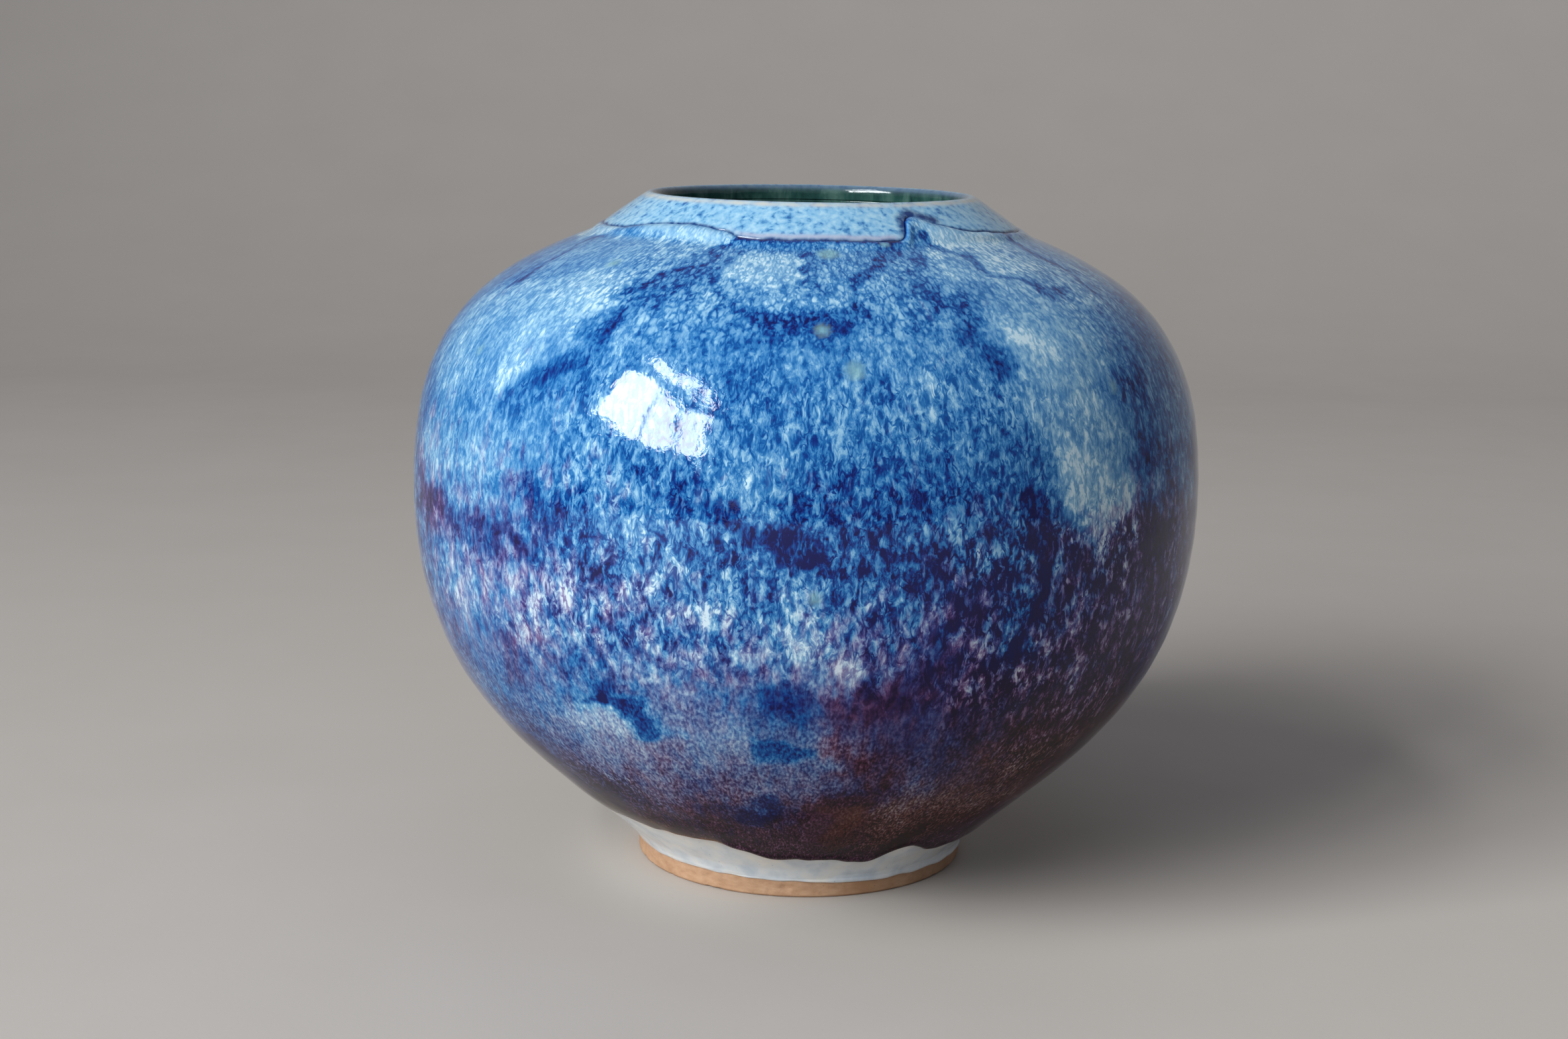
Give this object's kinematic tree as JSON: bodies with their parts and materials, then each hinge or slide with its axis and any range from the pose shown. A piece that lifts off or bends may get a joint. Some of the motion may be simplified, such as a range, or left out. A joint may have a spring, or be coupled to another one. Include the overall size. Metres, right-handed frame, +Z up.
{
  "type": "pottery vase",
  "caption": "Globular stoneware vase with a short sloping collar, mottled blue glaze, a white glaze edge and a bare clay foot ring.",
  "frame": {"origin": "centre of the circle that the foot ring stands on", "axes": "+Z up along the vase's axis of turning; X and Y are alike, because the vase is a body of revolution"},
  "size_m": [0.18, 0.18, 0.154],
  "materials": {
    "stoneware_clay": "bare fired clay, dry and slightly rough",
    "white_glaze": "glossy, with small blue-grey specks",
    "blue_glaze": "glossy, mottled from navy to pale blue with mauve runs",
    "pale_glaze": "glossy, soft pale-blue mottle",
    "liner_glaze": "glossy dark green"
  },
  "bodies": {
    "root": {"stoneware_body": "stoneware_clay", "foot_ring": "stoneware_clay", "collar_ring": "stoneware_clay", "white_glaze_band": "white_glaze", "blue_glaze_coat": "blue_glaze", "collar_glaze": "pale_glaze", "liner_glaze": "liner_glaze"}
  },
  "joints": []
}
